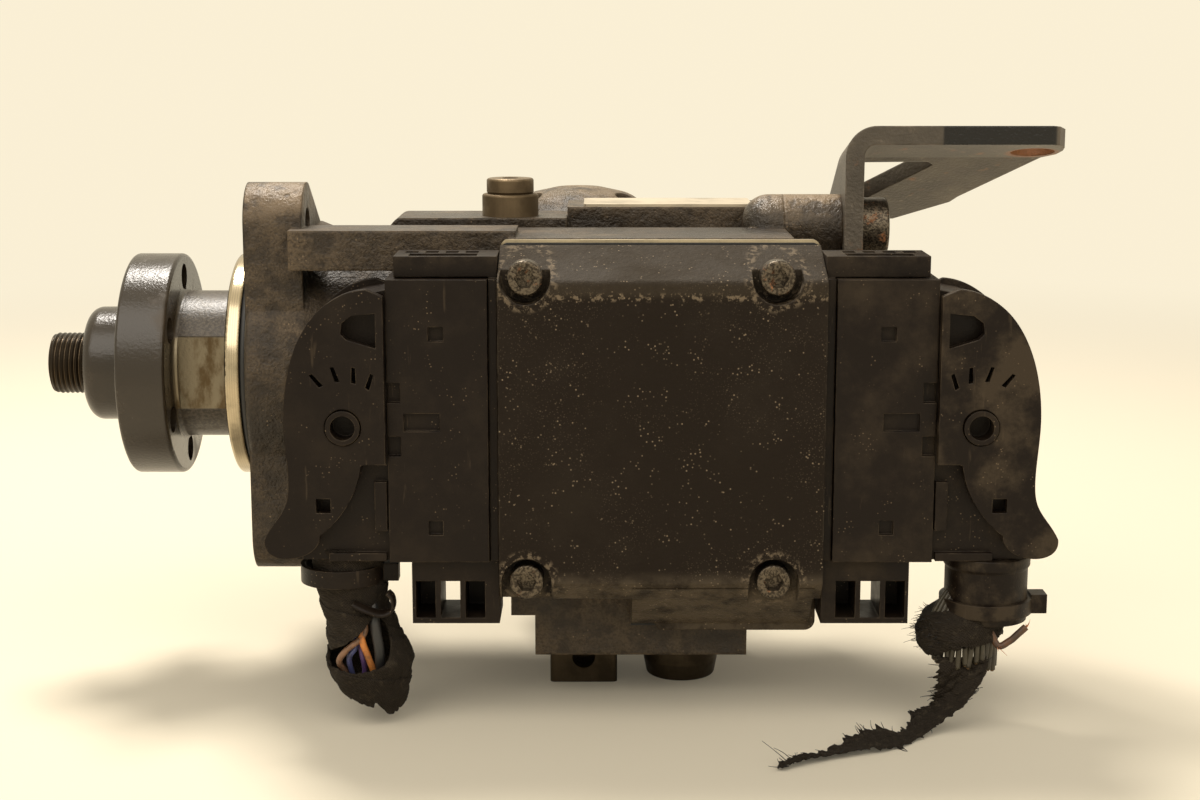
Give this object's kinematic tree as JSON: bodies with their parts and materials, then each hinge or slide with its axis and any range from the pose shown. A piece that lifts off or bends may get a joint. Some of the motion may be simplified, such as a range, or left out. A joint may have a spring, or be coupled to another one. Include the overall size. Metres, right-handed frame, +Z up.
{
  "type": "distributor fuel injection pump",
  "caption": "Radial-plunger distributor injection pump with a control unit, lever-locked plugs, drive hub and support bracket.",
  "frame": {"origin": "centre of the pilot spigot at the flange's mounting face, on the shaft's axis", "axes": "-X along the shaft towards the drive end, -Y out through the control unit's cover, +Z up as the pump lies"},
  "size_m": [0.3081, 0.171, 0.169],
  "materials": {
    "cast_aluminium": "dirty sand-cast aluminium, matt",
    "blackened_steel": "blackened turned steel, satin",
    "bare_steel": "bare machined steel, oily",
    "bright_pin": "ground steel",
    "control_casting": "dark coated casting with oil and dust",
    "black_plastic": "moulded black plastic, matt",
    "seal_rubber": "black rubber",
    "gasket": "black sealing sheet",
    "bronze": "sintered bronze",
    "rusty_screw": "screw head with a little rust",
    "bracket_steel": "grey painted steel, worn",
    "plate_foil": "bare aluminium plate",
    "board": "green circuit board",
    "fabric_tape": "textile harness tape",
    "wire": "cut insulated wires",
    "spring_steel": "spring wire"
  },
  "bodies": {
    "pump": {"pump_housing": "cast_aluminium", "pilot_o_ring": "seal_rubber", "shaft_seal": "seal_rubber", "shaft_bush": "bronze", "vane_ring": "bright_pin", "port_plate": "bronze", "distributor_head": "cast_aluminium", "head_screws": "blackened_steel", "delivery_valves": "bare_steel", "solenoid_housing": "bare_steel", "timing_cover": "cast_aluminium", "timing_lower_cover": "cast_aluminium", "timing_cover_screws": "rusty_screw", "timing_solenoid": "bare_steel", "timing_spring": "spring_steel", "regulator_spring": "spring_steel", "valve_plug": "blackened_steel", "return_block": "blackened_steel", "inlet_bolt": "bare_steel", "rating_plate": "plate_foil", "base_plate": "bright_pin", "cover_gasket": "gasket", "control_cover": "control_casting", "circuit_board": "board", "cover_screws": "rusty_screw", "left_header": "black_plastic", "right_header": "black_plastic", "header_pins": "bright_pin", "support_bracket": "bracket_steel", "bracket_bolt": "bracket_steel"},
    "shaft": {"drive_shaft": "blackened_steel", "woodruff_key": "bright_pin", "drive_hub": "blackened_steel", "vane_rotor": "bright_pin", "rotor_vanes": "bright_pin", "trigger_wheel": "bright_pin", "distributor_rotor": "bright_pin", "radial_plungers": "bright_pin", "roller_shoes": "bright_pin", "cam_rollers": "bright_pin"},
    "cam": {"cam_ring": "bright_pin", "cam_peg": "bright_pin", "angle_sensor": "black_plastic"},
    "timing_piston": {"timing_piston": "bright_pin"},
    "valve_needle": {"valve_needle": "bright_pin"},
    "regulator_piston": {"regulator_piston": "bright_pin"},
    "left_plug": {"left_plug_shell": "black_plastic", "left_wire_cover": "black_plastic", "left_strap": "black_plastic", "left_loom": "fabric_tape", "left_wires": "wire"},
    "left_lever": {"left_lever": "black_plastic"},
    "right_plug": {"right_plug_shell": "black_plastic", "right_wire_cover": "black_plastic", "gland_halves": "black_plastic", "gland_clamp": "black_plastic", "right_loom": "fabric_tape", "right_wires": "wire", "right_tape_tail": "fabric_tape"},
    "right_lever": {"right_lever": "black_plastic"}
  },
  "joints": [
    {"name": "shaft_spin", "type": "hinge", "parent": "pump", "child": "shaft", "pos_m": [0, 0, 0], "axis": [1, 0, 0], "continuous": true},
    {"name": "cam_advance", "type": "hinge", "parent": "pump", "child": "cam", "pos_m": [0.096, 0, 0], "axis": [1, 0, 0], "range_deg": [-8.5, 8.5]},
    {"name": "timing_slide", "type": "slide", "parent": "pump", "child": "timing_piston", "axis": [0, 0, 1], "range_m": [-0.0077, 0.0077], "deforming": ["timing_spring"]},
    {"name": "needle_lift", "type": "slide", "parent": "pump", "child": "valve_needle", "axis": [1, 0, 0], "range_m": [0, 0.0004], "stiffness_N_per_m": 800},
    {"name": "regulator_lift", "type": "slide", "parent": "pump", "child": "regulator_piston", "axis": [0, 0, -1], "range_m": [0, 0.004], "stiffness_N_per_m": 600, "deforming": ["regulator_spring"]},
    {"name": "left_unplug", "type": "slide", "parent": "pump", "child": "left_plug", "axis": [-1, 0, 0], "range_m": [0, 0.0115]},
    {"name": "left_lever_turn", "type": "hinge", "parent": "left_plug", "child": "left_lever", "pos_m": [0.0323, -0.0605, -0.006], "axis": [0, 1, 0], "range_deg": [0, 55]},
    {"name": "right_unplug", "type": "slide", "parent": "pump", "child": "right_plug", "axis": [1, 0, 0], "range_m": [0, 0.0115]},
    {"name": "right_lever_turn", "type": "hinge", "parent": "right_plug", "child": "right_lever", "pos_m": [0.2077, -0.0605, -0.006], "axis": [0, -1, 0], "range_deg": [0, 55]}
  ],
  "couplings": [
    {"joint": "timing_slide", "follows": "cam_advance", "m_per_rad": 0.051},
    {"joint": "left_lever_turn", "follows": "left_unplug", "rad_per_m": 83.4},
    {"joint": "right_lever_turn", "follows": "right_unplug", "rad_per_m": 83.4}
  ]
}
